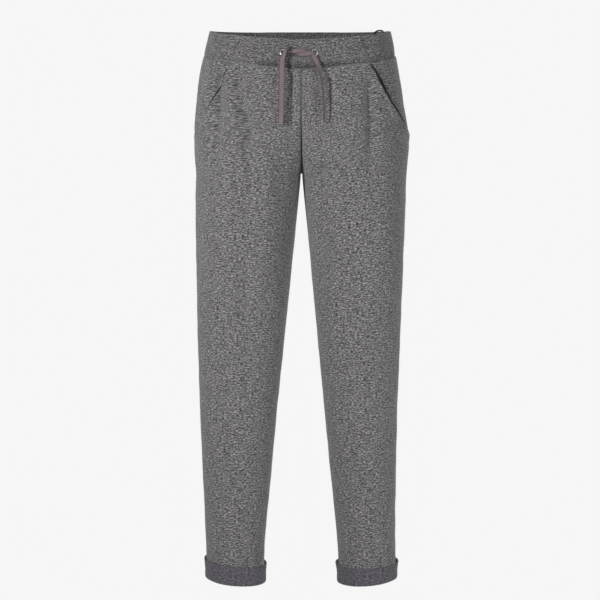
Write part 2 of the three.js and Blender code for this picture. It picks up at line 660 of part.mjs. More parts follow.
function tapeGeometry(sideName) {
  const thicknessAt = (row) => THREE.MathUtils.lerp(TAPE_THICKNESS_IN_TUNNEL, TAPE_THICKNESS, ease(row - 3));
  return loft(flatStations(TAPES[sideName], TAPE_STEPS, thicknessAt), [flatContour]);
}

// The hanger loop stands up from the inner face of the band's back and back down to it.
const LOOP_X = { from: 158.5, to: 141.5 };
const LOOP_ROWS = table(
  ["along", "height"],
  [[0, 38], [0, 44], [0.03, 48.5], [0.14, 51.6], [0.4, 52.8], [0.68, 52.2], [0.92, 49.4], [1, 45.5], [1, 38]],
);

function hangerLoopGeometry() {
  const depth = BAND_THICKNESS + LOOP_STAND_OFF;
  const placeAt = ({ along, height }, extra) => {
    const v = WAIST_SEAM + height / BAND_HEIGHT;
    const t = crossingAt(v, () => THREE.MathUtils.lerp(LOOP_X.from, LOOP_X.to, along), "back");
    return clothPoint("left", "back", v, t, -depth - extra);
  };
  const points = LOOP_ROWS.map((row) => placeAt(row, 0));
  const rows = points.map((point, i) => {
    const inward = placeAt(LOOP_ROWS[i], 1).sub(point);
    const before = points[Math.max(0, i - 1)];
    const after = points[Math.min(points.length - 1, i + 1)];
    const across = inward.cross(after.clone().sub(before)).normalize();
    return { ...point, wx: across.x, wy: across.y, wz: across.z, width: RIBBON_WIDTH };
  });
  return loft(flatStations(rows, LOOP_STEPS, () => RIBBON_THICKNESS), [flatContour]);
}

const group = new THREE.Group();
const greyCloth = new THREE.MeshStandardMaterial({ color: 0x74727a, roughness: 0.95, metalness: 0 });
const bandCloth = new THREE.MeshStandardMaterial({ color: 0x6d6a6b, roughness: 0.95, metalness: 0 });
const clothReverse = new THREE.MeshStandardMaterial({ color: 0x5e5b62, roughness: 0.97, metalness: 0 });
const nickel = new THREE.MeshStandardMaterial({ color: 0xc9c9c6, roughness: 0.3, metalness: 1 });
const blackRibbon = new THREE.MeshStandardMaterial({ color: 0x1c1b1d, roughness: 0.6, metalness: 0 });
const mauveTape = new THREE.MeshStandardMaterial({ color: 0x84767b, roughness: 0.8, metalness: 0 });

function addPiece(name, geometry, material) {
  const mesh = new THREE.Mesh(geometry, material);
  mesh.name = name;
  group.add(mesh);
}

addPiece("waistband_front", piercedBandGeometry(), bandCloth);
addPiece("waistband_back", backBandGeometry(), bandCloth);
addPiece("hanger_loop", hangerLoopGeometry(), blackRibbon);
for (const side of ["right", "left"]) {
  addPiece(`front_${side}`, frontGeometry(side), greyCloth);
  addPiece(`back_${side}`, backGeometry(side), greyCloth);
  addPiece(`hip_panel_${side}`, hipPanelGeometry(side), greyCloth);
  addPiece(`turn_up_${side}`, turnUpGeometry(side), clothReverse);
  addPiece(`eyelet_${side}`, eyeletGeometry(side), nickel);
  addPiece(`drawstring_${side}`, tapeGeometry(side), mauveTape);
}

export default group;
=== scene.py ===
"""Jogger sweatpants in grey marl French terry: the cloth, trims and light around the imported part."""

import math

import bmesh
import bpy
import numpy as np
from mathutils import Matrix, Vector, kdtree, noise


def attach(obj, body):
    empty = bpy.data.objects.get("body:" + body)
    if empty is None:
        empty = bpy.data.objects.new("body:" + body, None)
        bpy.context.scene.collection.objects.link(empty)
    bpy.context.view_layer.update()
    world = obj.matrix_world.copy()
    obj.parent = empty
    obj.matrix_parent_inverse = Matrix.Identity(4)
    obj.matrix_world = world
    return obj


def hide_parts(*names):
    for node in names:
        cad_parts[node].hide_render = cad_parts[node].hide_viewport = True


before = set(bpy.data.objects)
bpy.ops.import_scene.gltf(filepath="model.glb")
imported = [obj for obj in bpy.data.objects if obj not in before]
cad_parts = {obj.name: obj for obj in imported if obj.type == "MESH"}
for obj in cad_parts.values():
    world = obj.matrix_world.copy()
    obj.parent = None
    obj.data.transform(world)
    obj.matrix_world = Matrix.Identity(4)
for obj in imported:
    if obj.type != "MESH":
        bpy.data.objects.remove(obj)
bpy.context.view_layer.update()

MM = 0.001
SIDES = {"right": -1, "left": 1}  # the wearer's sides, and the sign of x on each


# Camera and light


# The camera is level, 2.5 m in front of the waist's middle and 0.461 m below it
CAMERA = {"place": (-0.0027, -2.5, -0.461), "sensor": 36, "lens": 83.3}


def photographer():
    camera = bpy.data.objects.new("camera", bpy.data.cameras.new("camera"))
    bpy.context.collection.objects.link(camera)
    camera.location = CAMERA["place"]
    camera.rotation_euler = (math.pi / 2, 0, 0)
    camera.data.sensor_width = CAMERA["sensor"]
    camera.data.lens = CAMERA["lens"]
    bpy.context.scene.camera = camera


def softbox(name, place, aim, size, watts, spread):
    light = bpy.data.lights.new(name, "AREA")
    light.shape = "DISK"
    light.size = size
    light.energy = watts
    light.spread = math.radians(spread)
    lamp = bpy.data.objects.new(name, light)
    bpy.context.collection.objects.link(lamp)
    lamp.location = place
    lamp.visible_camera = False
    lamp.rotation_euler = (Vector(aim) - Vector(place)).to_track_quat("-Z", "Y").to_euler()


# Materials

PAPER = (0.9216, 0.9216, 0.9216, 1)  # the pale backdrop, which is the same tone all over
AMBIENT = 0.17  # how much of that light reaches the cloth


class Finish:
    """A material under construction: nodes are added by kind and joined socket to socket."""

    def __init__(self, name):
        self.material = bpy.data.materials.new(name)
        self.material.use_nodes = True
        self.tree = self.material.node_tree
        self.surface = self.tree.nodes["Principled BSDF"]

    def node(self, kind, values=(), **settings):
        made = self.tree.nodes.new(kind)
        for key, value in settings.items():
            setattr(made, key, value)
        for key, value in dict(values).items():
            made.inputs[key].default_value = value
        return made

    def join(self, start, end):
        self.tree.links.new(start, end)

    def cloth_grid(self, size, turn=0.0):
        """The piece's own UV map, with a pattern's width and height as its units."""
        uv = self.node("ShaderNodeTexCoord")
        scale = (1 / size[0], 1 / size[1], 1)
        grid = self.node("ShaderNodeMapping", {"Scale": scale, "Rotation": (0, 0, turn)})
        self.join(uv.outputs["UV"], grid.inputs["Vector"])
        return grid.outputs["Vector"]

    def grain(self, vector, scale=1.0, detail=2.0, roughness=0.5):
        made = self.node("ShaderNodeTexNoise", {"Scale": scale, "Detail": detail, "Roughness": roughness})
        self.join(vector, made.inputs["Vector"])
        return made.outputs["Fac"]

    def ramp(self, value, stops):
        made = self.node("ShaderNodeValToRGB")
        band = made.color_ramp
        while len(band.elements) < len(stops):
            band.elements.new(0.5)
        for element, (place, tone) in zip(band.elements, stops):
            element.position = place
            element.color = (*tone, 1) if hasattr(tone, "__len__") else (tone, tone, tone, 1)
        self.join(value, made.inputs["Fac"])
        return made.outputs["Color"]

    def math(self, operation, *values):
        made = self.node("ShaderNodeMath", operation=operation)
        for socket, value in zip(made.inputs, values):
            if hasattr(value, "node"):
                self.join(value, socket)
            else:
                socket.default_value = value
        return made.outputs["Value"]

    def times(self, first, second):
        """One colour multiplied by another."""
        made = self.node("ShaderNodeMix", data_type="RGBA", blend_type="MULTIPLY")
        made.inputs["Factor"].default_value = 1.0
        self.join(first, made.inputs["A"])
        self.join(second, made.inputs["B"])
        return made.outputs["Result"]

    def relief(self, height, distance):
        made = self.node("ShaderNodeBump", {"Distance": distance})
        self.join(height, made.inputs["Height"])
        self.join(made.outputs["Normal"], self.surface.inputs["Normal"])

    def set(self, **values):
        for key, value in values.items():
            self.surface.inputs[key.replace("_", " ")].default_value = value


def tinted(tone, tint):
    return tuple(tone * share for share in tint)


# Width and height of each pattern in the cloth and tape, and how deep they stand, in metres
KNIT = {
    "fleck": (0.0043, 0.0018),
    "slub": (0.0135, 0.0025),
    "cloud": (0.034, 0.021),
    "rib": (0.0072, 0.004),
    "course": (0.0014, 0.0008),
    "relief": 0.0006,
}
BAND_FLECK = (0.0041, 0.0018)
LOOPS = {"loop": (0.0021, 0.0016), "fibre": (0.0046, 0.0027), "relief": 0.0009}
BRAID = {
    "rib": (0.0028, 0.0028),
    "slant": 0.9,
    "fibre": (0.0012, 0.004),
    "half_width": 0.0045,
    "relief": 0.00035,
}


def marl_cloth(name, tones, tint, fleck=KNIT["fleck"]):
    """Marl jersey face: dark and light fibres in short crosswise flecks, over fine knitted courses, with
    painted shade along the seams.
    """
    dark, middle, light = tones
    cloth = Finish(name)
    flecks = cloth.grain(cloth.cloth_grid(fleck), detail=3.0, roughness=0.7)
    colour = cloth.ramp(
        flecks,
        [
            (0.39, tinted(dark, tint)),
            (0.47, tinted(middle * 0.66, tint)),
            (0.54, tinted(middle * 1.2, tint)),
            (0.64, tinted(light, tint)),
        ],
    )
    slubs = cloth.grain(cloth.cloth_grid(KNIT["slub"]), detail=2.0)
    slub_tone = cloth.ramp(slubs, [(0.30, 0.42), (0.43, 0.90), (0.57, 1.08), (0.72, 1.45)])
    clouds = cloth.grain(cloth.cloth_grid(KNIT["cloud"]), detail=2.0)
    cloud_tone = cloth.ramp(clouds, [(0.3, 0.90), (0.7, 1.08)])
    # Painted shade along the seams: where the seam attribute is high, the colour falls to 0.42 of itself.
    seam_shade_mask = cloth.node("ShaderNodeAttribute", attribute_name="seam", attribute_type="GEOMETRY")
    seam_painted_shade = cloth.ramp(seam_shade_mask.outputs["Fac"], [(0.1, 1.0), (0.9, 0.42)])
    colour = cloth.times(cloth.times(cloth.times(colour, slub_tone), cloud_tone), seam_painted_shade)
    cloth.join(colour, cloth.surface.inputs["Base Color"])
    ribs = cloth.node(
        "ShaderNodeTexWave",
        {"Scale": 1.0, "Distortion": 1.2, "Detail": 1.0, "Detail Scale": 1.5},
    )
    ribs.bands_direction = "X"
    cloth.join(cloth.cloth_grid(KNIT["rib"]), ribs.inputs["Vector"])
    courses = cloth.grain(cloth.cloth_grid(KNIT["course"]), detail=1.0)
    height = cloth.math("ADD", flecks, cloth.math("MULTIPLY", courses, 0.35))
    height = cloth.math("ADD", height, cloth.math("MULTIPLY", ribs.outputs["Fac"], 0.12))
    cloth.relief(height, KNIT["relief"])
    cloth.set(Roughness=0.94, Sheen_Weight=0.4, Sheen_Roughness=0.55, Specular_IOR_Level=0.18)
    return cloth.material


def terry_reverse(name, tones, tint):
    """Looped back of the cloth, which shows on the turn-ups and inside: softer, darker and nubbly."""
    dark, middle, light = (tinted(tone, tint) for tone in tones)
    cloth = Finish(name)
    loops = cloth.node("ShaderNodeTexVoronoi", {"Scale": 1.0, "Randomness": 0.9})
    cloth.join(cloth.cloth_grid(LOOPS["loop"]), loops.inputs["Vector"])
    fibres = cloth.grain(cloth.cloth_grid(LOOPS["fibre"]), detail=3.0, roughness=0.6)
    colour = cloth.ramp(fibres, [(0.30, dark), (0.5, middle), (0.72, light)])
    nub_tone = cloth.ramp(loops.outputs["Distance"], [(0.0, 1.10), (0.6, 0.98), (1.0, 0.80)])
    cloth.join(cloth.times(colour, nub_tone), cloth.surface.inputs["Base Color"])
    height = cloth.math("SUBTRACT", fibres, cloth.math("MULTIPLY", loops.outputs["Distance"], 0.5))
    cloth.relief(height, LOOPS["relief"])
    cloth.set(Roughness=0.97, Sheen_Weight=0.22, Sheen_Roughness=0.6, Specular_IOR_Level=0.12)
    return cloth.material


def braided_tape(name, dark, light):
    """Flat braided cotton tape: two sets of slanting ribs, with painted shade darkening each edge and the
    middle a little lighter.
    """
    tape = Finish(name)
    ribs = []
    for turn in (BRAID["slant"], -BRAID["slant"]):
        rib = tape.node("ShaderNodeTexWave", {"Scale": 1.0, "Distortion": 0.4, "Detail": 1.0})
        tape.join(tape.cloth_grid(BRAID["rib"], turn), rib.inputs["Vector"])
        ribs.append(rib.outputs["Fac"])
    braid = tape.math("MAXIMUM", *ribs)
    fibres = tape.grain(tape.cloth_grid(BRAID["fibre"]), detail=2.0)
    colour = tape.ramp(braid, [(0.2, dark), (0.9, light)])
    fibre_tone = tape.ramp(fibres, [(0.25, 0.84), (0.75, 1.14)])
    across = tape.node("ShaderNodeSeparateXYZ")
    tape.join(tape.cloth_grid((BRAID["half_width"], 1)), across.inputs["Vector"])
    # Painted shade: each edge of the tape darkens to 0.42 of its colour, and the middle is lifted to 1.08.
    edge_shade = tape.ramp(tape.math("ABSOLUTE", across.outputs["X"]), [(0.7, 1.08), (0.92, 0.42)])
    colour = tape.times(tape.times(colour, fibre_tone), edge_shade)
    tape.join(colour, tape.surface.inputs["Base Color"])
    tape.relief(tape.math("ADD", braid, tape.math("MULTIPLY", fibres, 0.4)), BRAID["relief"])
    tape.set(Roughness=0.8, Sheen_Weight=0.15, Sheen_Roughness=0.5, Specular_IOR_Level=0.25)
    return tape.material


def pressed_nickel(name):
    metal = Finish(name)
    place = metal.node("ShaderNodeTexCoord")
    smears = metal.node("ShaderNodeTexNoise", {"Scale": 260.0, "Detail": 3.0})
    metal.join(place.outputs["Object"], smears.inputs["Vector"])
    tone = metal.ramp(smears.outputs["Fac"], [(0.3, (0.84, 0.835, 0.825)), (0.7, (0.95, 0.945, 0.935))])
    metal.join(tone, metal.surface.inputs["Base Color"])
    matt = metal.node("ShaderNodeMapRange", {"To Min": 0.22, "To Max": 0.34})
    metal.join(smears.outputs["Fac"], matt.inputs["Value"])
    metal.join(matt.outputs["Result"], metal.surface.inputs["Roughness"])
    metal.relief(smears.outputs["Fac"], 0.00006)
    metal.set(Metallic=1.0)
    return metal.material


def woven_ribbon(name):
    ribbon = Finish(name)
    ribs = ribbon.node("ShaderNodeTexWave", {"Scale": 1.0, "Distortion": 0.3})
    ribs.bands_direction = "Y"
    ribbon.join(ribbon.cloth_grid((0.002, 0.0022)), ribs.inputs["Vector"])
    tone = ribbon.ramp(ribs.outputs["Fac"], [(0.2, (0.004, 0.004, 0.0045)), (0.9, (0.014, 0.014, 0.015))])
    ribbon.join(tone, ribbon.surface.inputs["Base Color"])
    ribbon.relief(ribs.outputs["Fac"], 0.0002)
    ribbon.set(Roughness=0.62, Specular_IOR_Level=0.3)
    return ribbon.material


def backdrop_paper():
    paper = bpy.data.materials.new("backdrop_paper")
    paper.use_nodes = True
    tree = paper.node_tree
    tree.nodes.clear()
    glow = tree.nodes.new("ShaderNodeEmission")
    glow.inputs["Color"].default_value = PAPER
    dim = tree.nodes.new("ShaderNodeEmission")
    dim.inputs["Color"].default_value = (AMBIENT, AMBIENT, AMBIENT, 1)
    ray = tree.nodes.new("ShaderNodeLightPath")
    mix = tree.nodes.new("ShaderNodeMixShader")
    tree.links.new(ray.outputs["Is Camera Ray"], mix.inputs["Fac"])
    tree.links.new(dim.outputs["Emission"], mix.inputs[1])
    tree.links.new(glow.outputs["Emission"], mix.inputs[2])
    out = tree.nodes.new("ShaderNodeOutputMaterial")
    tree.links.new(mix.outputs["Shader"], out.inputs["Surface"])
    return paper


BAND_TINT = (1.02, 0.985, 0.99)
MARL = marl_cloth("marl_face", (0.025, 0.170, 0.40), (1.02, 0.985, 1.0))
BAND_MARL = marl_cloth("marl_band", (0.03, 0.150, 0.34), BAND_TINT, BAND_FLECK)
# A darker copy of the band's face cloth for its inward walls: painted shade inside the band.
BAND_INSIDE_SHADED = marl_cloth("marl_band_inside_shaded", (0.03, 0.098, 0.21), BAND_TINT, BAND_FLECK)
TERRY = terry_reverse("terry_reverse", (0.04, 0.108, 0.22), (0.99, 0.93, 1.08))
TAPE = braided_tape("mauve_tape", (0.145, 0.112, 0.122), (0.26, 0.205, 0.222))
NICKEL = pressed_nickel("nickel")
RIBBON = woven_ribbon("black_ribbon")


# The hanging drawstring

# Each row is x, y and z of the tape's middle, the direction of its width, and its width there, in mm. It is
# narrower than it is cut where it is folded or squeezed.
TAPE_ROUTES = {
    "right": [
        (-42.0, -93.8, -32.5, 0, 0.09, 1, 6.0),
        (-37.0, -93.8, -32.5, 0, 0.09, 1, 6.0),
        (-33.2, -94.6, -32.5, 0, 0.09, 1, 5.6),
        (-31.5, -97.4, -32.6, 0, 0.09, 1, 5.6),
        (-29.6, -99.8, -32.6, 0, 0, 1, 6.0),
        (-25.5, -101.2, -32.0, 0, 0, 1, 7.6),
        (-19.0, -102.4, -31.3, 0, 0, 1, 9.0),
        (-10.0, -103.3, -31.0, 0, 0, 1, 9.0),
        (-1.0, -102.8, -30.8, 0, 0, 1, 7.4),
        (7.0, -101.4, -31.6, 0, 0, 1, 5.0),
        (13.0, -100.9, -33.0, 0.1, 0, 1, 5.0),
        (18.0, -101.2, -36.6, 0.5, 0, 0.85, 6.0),
        (21.6, -102.6, -42.0, 0.85, 0, 0.5, 8.0),
        (25.8, -105.4, -49.5, 1, 0.1, 0.2, 9.0),
        (29.0, -108.0, -58.0, 0.9, 0.5, 0.1, 9.0),
        (32.0, -110.4, -68.0, 0.65, 0.8, 0, 9.0),
        (34.6, -112.2, -84.0, 0.32, 0.95, 0, 9.0),
        (37.0, -113.2, -106.0, 0.28, 0.96, 0, 9.0),
        (39.2, -113.8, -130.0, 0.36, 0.93, 0, 9.0),
        (40.6, -114.0, -155.0, 0.6, 0.8, 0, 9.0),
    ],
    "left": [
        (33.5, -93.8, -32.5, 0, 0.09, 1, 6.0),
        (28.5, -93.8, -32.5, 0, 0.09, 1, 6.0),
        (24.7, -94.6, -32.5, 0, 0.09, 1, 5.2),
        (23.0, -97.4, -33.2, 0, 0.09, 1, 5.2),
        (21.0, -100.4, -34.6, 0, 0, 1, 6.4),
        (16.5, -102.9, -35.4, 0, 0, 1, 8.6),
        (10.5, -104.2, -35.7, 0, 0, 1, 9.0),
        (3.5, -103.6, -36.7, 0, 0, 1, 7.0),
        (-4.0, -101.3, -36.2, 0, 0, 1, 6.4),
        (-12.0, -100.8, -33.4, 0, 0, 1, 5.0),
        (-17.5, -101.0, -29.6, 0.3, 0.3, 0.9, 5.4),
        (-20.0, -104.4, -24.8, 0.2, 0.9, 0.3, 6.4),
        (-22.8, -107.8, -26.8, 0.05, 1, 0.1, 8.4),
        (-26.3, -108.6, -32.2, -0.3, 0.95, 0.1, 9.0),
        (-29.8, -108.4, -38.6, -0.75, 0.66, 0.05, 9.0),
        (-32.4, -108.4, -45.0, -1, 0.2, 0, 9.0),
        (-33.6, -109.6, -53.0, -1, 0, 0, 9.0),
        (-33.8, -112.2, -67.0, -1, 0, 0, 9.0),
        (-34.0, -114.2, -88.0, -1, 0, 0, 9.0),
        (-34.4, -115.2, -112.0, -1, 0, 0, 9.0),
        (-34.8, -115.6, -136.0, -1, 0.05, 0, 9.0),
        (-35.2, -115.6, -158.0, -1, 0.1, 0, 9.0),
    ],
}
TAPE_WIDTH = 9.0
TAPE_THICKNESS = {"tunnel": 1.0, "free": 1.4}
TAPE_EXIT_ROW = 3  # the row of each route that lies in its eyelet's hole
TAPE_STEPS_PER_ROW = 8
# The rounded flat section, as shares of half the width and half the thickness
TAPE_SECTION = [
    (1, -0.35), (1, 0.35), (0.93, 0.8), (0.8, 1), (0.4, 0.93), (0, 0.85), (-0.4, 0.93), (-0.8, 1),
    (-0.93, 0.8), (-1, 0.35), (-1, -0.35), (-0.93, -0.8), (-0.8, -1), (-0.4, -0.93), (0, -0.85), (0.4, -0.93),
    (0.8, -1), (0.93, -0.8),
]


def ease(x):
    x = np.clip(x, 0, 1)
    return x * x * (3 - 2 * x)


def centripetal(p0, p1, p2, p3, share):
    """A point between p1 and p2 on the centripetal Catmull-Rom curve through the four."""
    knots = [0.0]
    for a, b in ((p0, p1), (p1, p2), (p2, p3)):
        knots.append(knots[-1] + max(np.linalg.norm(b - a), 1e-9) ** 0.5)
    t = knots[1] + (knots[2] - knots[1]) * share

    def between(a, b, i, j):
        return (a * (knots[j] - t) + b * (t - knots[i])) / (knots[j] - knots[i])

    a1, a2, a3 = between(p0, p1, 0, 1), between(p1, p2, 1, 2), between(p2, p3, 2, 3)
    b1, b2 = between(a1, a2, 0, 2), between(a2, a3, 1, 3)
    return between(b1, b2, 1, 2)


def smooth_route(points):
    """(place in rows, point) all along a smooth curve through the points."""
    ends = [2 * points[0] - points[1], *points, 2 * points[-1] - points[-2]]
    route = []
    for row in range(len(points) - 1):
        for step in range(TAPE_STEPS_PER_ROW):
            share = step / TAPE_STEPS_PER_ROW
            route.append((row + share, centripetal(*ends[row : row + 4], share)))
    route.append((len(points) - 1.0, points[-1]))
    return route


def hanging_tape(side):
    rows = np.array(TAPE_ROUTES[side], float)
    route = smooth_route([row[:3] for row in rows])
    centres = np.array([point for _, point in route])
    tangents = np.gradient(centres, axis=0)
    tangents /= np.linalg.norm(tangents, axis=1)[:, None]
    lengths = np.concatenate([[0], np.cumsum(np.linalg.norm(np.diff(centres, axis=0), axis=1))])
    shape = bmesh.new()
    uv = shape.loops.layers.uv.new("cloth")
    rings = []
    for (place, centre), tangent, along in zip(route, tangents, lengths):
        row = min(int(place), len(rows) - 2)
        mix = rows[row] + (rows[row + 1] - rows[row]) * float(ease(place - row))
        across = mix[3:6] - tangent * (mix[3:6] @ tangent)
        across /= np.linalg.norm(across)
        normal = np.cross(tangent, across)
        free = float(ease(place - TAPE_EXIT_ROW))
        thickness = TAPE_THICKNESS["tunnel"] + (TAPE_THICKNESS["free"] - TAPE_THICKNESS["tunnel"]) * free
        ring = []
        for a, b in TAPE_SECTION:
            place_on_edge = centre + across * a * mix[6] / 2 + normal * b * thickness / 2
            ring.append((shape.verts.new(place_on_edge * MM), a * TAPE_WIDTH / 2, along))
        rings.append(ring)
    for ring, following in zip(rings, rings[1:]):
        for i in range(len(ring)):
            j = (i + 1) % len(ring)
            corners = [ring[i], ring[j], following[j], following[i]]
            face = shape.faces.new([corner[0] for corner in corners])
            for loop, (_, u, v) in zip(face.loops, corners):
                loop[uv].uv = (u * MM, v * MM)
    for ring in (rings[0], rings[-1]):
        face = shape.faces.new([corner[0] for corner in ring])
        for loop, (_, u, v) in zip(face.loops, ring):
            loop[uv].uv = (u * MM, v * MM)
    bmesh.ops.recalc_face_normals(shape, faces=shape.faces)
    mesh = bpy.data.meshes.new(f"drawstring_{side}_tape")
    shape.to_mesh(mesh)
    shape.free()
    mesh.materials.append(TAPE)
    piece = bpy.data.objects.new(mesh.name, mesh)
    bpy.context.collection.objects.link(piece)
    smooth(piece, 60)
    stand_for(piece, f"drawstring_{side}")


# Cloth


def only(piece):
    bpy.ops.object.select_all(action="DESELECT")
    piece.select_set(True)
    bpy.context.view_layer.objects.active = piece


def smooth(piece, degrees):
    only(piece)
    bpy.ops.object.shade_smooth_by_angle(angle=math.radians(degrees))


def stand_for(piece, node):
    """The piece rides on the one body, in place of a CAD node."""
    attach(piece, "root")
    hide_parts(node)


FITTING = {"rounds": 3, "longest_move": 4.0}  # rounds of moving the coarse points, and the most in each, in mm


def shell_of(node, name, levels, sharp=55):
    """A new piece on a CAD node's form: its copy merged, made quads again, and subdivided between its sharp
    edges. The coarse points are moved first, so that the fine surface goes through the CAD's own points."""
    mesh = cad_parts[node].data.copy()
    mesh.materials.clear()
    mesh.name = name
    piece = bpy.data.objects.new(name, mesh)
    bpy.context.collection.objects.link(piece)
    only(piece)
    bpy.ops.object.mode_set(mode="EDIT")
    bpy.ops.mesh.select_all(action="SELECT")
    bpy.ops.mesh.remove_doubles(threshold=1e-5)
    bpy.ops.mesh.tris_convert_to_quads(face_threshold=math.radians(50), shape_threshold=math.radians(60))
    bpy.ops.mesh.normals_make_consistent(inside=False)
    bpy.ops.object.mode_set(mode="OBJECT")
    shape = bmesh.new()
    shape.from_mesh(mesh)
    crease = shape.edges.layers.float.get("crease_edge") or shape.edges.layers.float.new("crease_edge")
    for edge in shape.edges:
        if len(edge.link_faces) == 2 and edge.calc_face_angle() > math.radians(sharp):
            edge[crease] = 1.0
    shape.to_mesh(mesh)
    shape.free()
    if "custom_normal" in mesh.attributes:
        mesh.attributes.remove(mesh.attributes["custom_normal"])
    finer = piece.modifiers.new("finer", "SUBSURF")
    finer.levels = finer.render_levels = 1
    goal = places_of(mesh)
    reach = FITTING["longest_move"]
    for _ in range(FITTING["rounds"]):
        evaluated = piece.evaluated_get(bpy.context.evaluated_depsgraph_get())
        reached = places_of(evaluated.to_mesh())[: len(goal)]
        evaluated.to_mesh_clear()
        put_back(mesh, places_of(mesh) + np.clip(goal - reached, -reach, reach))
        bpy.context.view_layer.update()
    finer.levels = finer.render_levels = levels
    bpy.ops.object.modifier_apply(modifier="finer")
    return piece


def places_of(mesh):
    flat = np.zeros(len(mesh.vertices) * 3, np.float32)
    mesh.vertices.foreach_get("co", flat)
    return flat.reshape(-1, 3).astype(float) / MM


def put_back(mesh, places):
    mesh.vertices.foreach_set("co", (places * MM).astype(np.float32).ravel())
    mesh.update()


# Middle of the leg, and half its width and depth, for each height
LEG_AXIS = np.array(
    [
        (-960, 118.8, 10, 52, 52),
        (-830, 115.8, 8, 57, 57),
        (-660, 110.0, 3, 67, 67),
        (-460, 103.2, -3, 81, 79),
        (-365, 100.2, -1, 87, 89),
        (-240, 95.2, 4, 94, 103),
    ],
    float,
)
WAIST_RADIUS = 140.0  # of a circle of about the waist's girth
TORSO = {"wide": 186.0, "deep": 105.0, "from": -250.0, "to": -130.0}


def leg_axis(z, column):
    return np.interp(z, LEG_AXIS[:, 0], LEG_AXIS[:, column])


def middle_of(places, side):
    """How much of each place's body is torso and not leg, and x and y of that body's middle."""
    z = places[:, 2]
    torso = ease((z - TORSO["from"]) / (TORSO["to"] - TORSO["from"]))
    return torso, side * leg_axis(z, 1) * (1 - torso), leg_axis(z, 2) * (1 - torso)


def outward(places, side):
    """The level direction out of the garment, from the middle of the leg or, higher up, of the waist."""
    x, y, z = places.T
    torso, middle_x, middle_y = middle_of(places, side)
    wide = leg_axis(z, 3) * (1 - torso) + TORSO["wide"] * torso
    deep = leg_axis(z, 4) * (1 - torso) + TORSO["deep"] * torso
    out = np.stack([(x - middle_x) / wide**2, (y - middle_y) / deep**2, np.zeros(len(x))], 1)
    return out / np.maximum(np.linalg.norm(out, axis=1), 1e-9)[:, None]


def girth(places, side, facing):
    """How far round the leg or waist a place is from the middle of its front (facing -1) or back (1)."""
    x, y, z = places.T
    torso, middle_x, middle_y = middle_of(places, side)
    radius = leg_axis(z, 3) * (1 - torso) + WAIST_RADIUS * torso
    return np.arctan2(x - middle_x, facing * (y - middle_y)) * radius


# Creases in the front view: x and z of each point, half the width, and the depth, less than 0 for a ridge
FRONT_CREASES = [
    # line, half width, depth
    ([(-142, 30), (-144, -78), (-145, -128), (-147, -180), (-150, -245)], 7, 6.0),
    ([(-113, 30), (-112, -84), (-104, -118), (-93, -156), (-90, -235), (-90, -330)], 7, 6.5),
    ([(-96, -290), (-97, -400), (-99, -500), (-97, -620)], 9, 2.0),
    ([(-129, 30), (-129, -68), (-126, -112), (-119, -190)], 7, -3.0),
    ([(-78, 30), (-76, -70), (-68, -150), (-58, -260), (-50, -392)], 12, -3.0),
    ([(-21, 40), (-21, -70), (-21, -120), (-17, -185)], 8, 7.5),
    ([(42, 40), (47, -66), (49, -100), (48, -130), (44, -185)], 7, 6.5),
    ([(116, -20), (117, -80), (119, -130), (120, -190), (123, -262)], 7, 6.5),
    ([(80, 30), (80, -80), (77, -150), (79, -260), (78, -360), (75, -508)], 16, -2.4),
    ([(14, 30), (16, -80), (18, -150)], 7, -1.6),
    ([(132, -100), (140, -140), (150, -200)], 9, -1.2),
    ([(148, -84), (160, -130), (168, -180)], 6, 1.2),
    ([(52, -694), (86, -700), (124, -694), (158, -684)], 5, 1.0),
    ([(60, -706), (96, -711), (130, -705)], 6, -0.8),
    ([(56, -560), (92, -556), (140, -548)], 6, 0.9),
    ([(-148, -398), (-104, -402), (-52, -396)], 7, 0.8),
    ([(-160, -520), (-120, -530), (-84, -526)], 8, 0.7),
    ([(-150, -700), (-112, -708), (-72, -702)], 7, 0.8),
    ([(-88, -915), (-74, -908), (-60, -899)], 4, 1.6),
    ([(-168, -896), (-140, -906), (-108, -902)], 5, 1.0),
    ([(66, -904), (96, -914), (130, -909)], 5, 1.2),
    ([(130, -890), (150, -896), (172, -888)], 5, 1.0),
    ([(168, -250), (150, -268), (120, -280)], 8, 0.8),
]
BACK_CREASES = [
    ([(-6, -226), (-40, -246), (-86, -262)], 8, 1.8),
    ([(6, -222), (44, -240), (92, -252)], 8, 1.7),
    ([(-20, -252), (-58, -276), (-96, -290)], 8, -1.3),
    ([(22, -248), (62, -270), (104, -280)], 8, -1.2),
    ([(-62, -34), (-64, -80), (-60, -130)], 7, 0.9),
    ([(70, -32), (72, -76), (66, -126)], 7, 0.9),
    ([(-120, -40), (-124, -84)], 7, 0.8),
    ([(118, -40), (122, -88)], 7, 0.8),
    ([(-150, -470), (-112, -484), (-70, -478)], 8, 1.5),
    ([(-146, -496), (-108, -508), (-72, -500)], 7, -1.1),
    ([(62, -480), (104, -490), (148, -478)], 8, 1.5),
    ([(66, -506), (110, -514), (146, -502)], 7, -1.1),
    ([(-140, -540), (-104, -548), (-76, -542)], 7, 1.0),
    ([(72, -544), (108, -552), (142, -544)], 7, 1.0),
    ([(-112, -300), (-108, -400), (-106, -470)], 12, -1.2),
    ([(110, -300), (106, -400), (104, -470)], 12, -1.2),
    ([(-146, -880), (-112, -892), (-82, -884)], 6, 1.3),
    ([(76, -884), (112, -892), (150, -880)], 6, 1.3),
    ([(-150, -905), (-110, -914), (-80, -908)], 5, 1.0),
    ([(84, -908), (118, -914), (152, -906)], 5, 1.0),
]
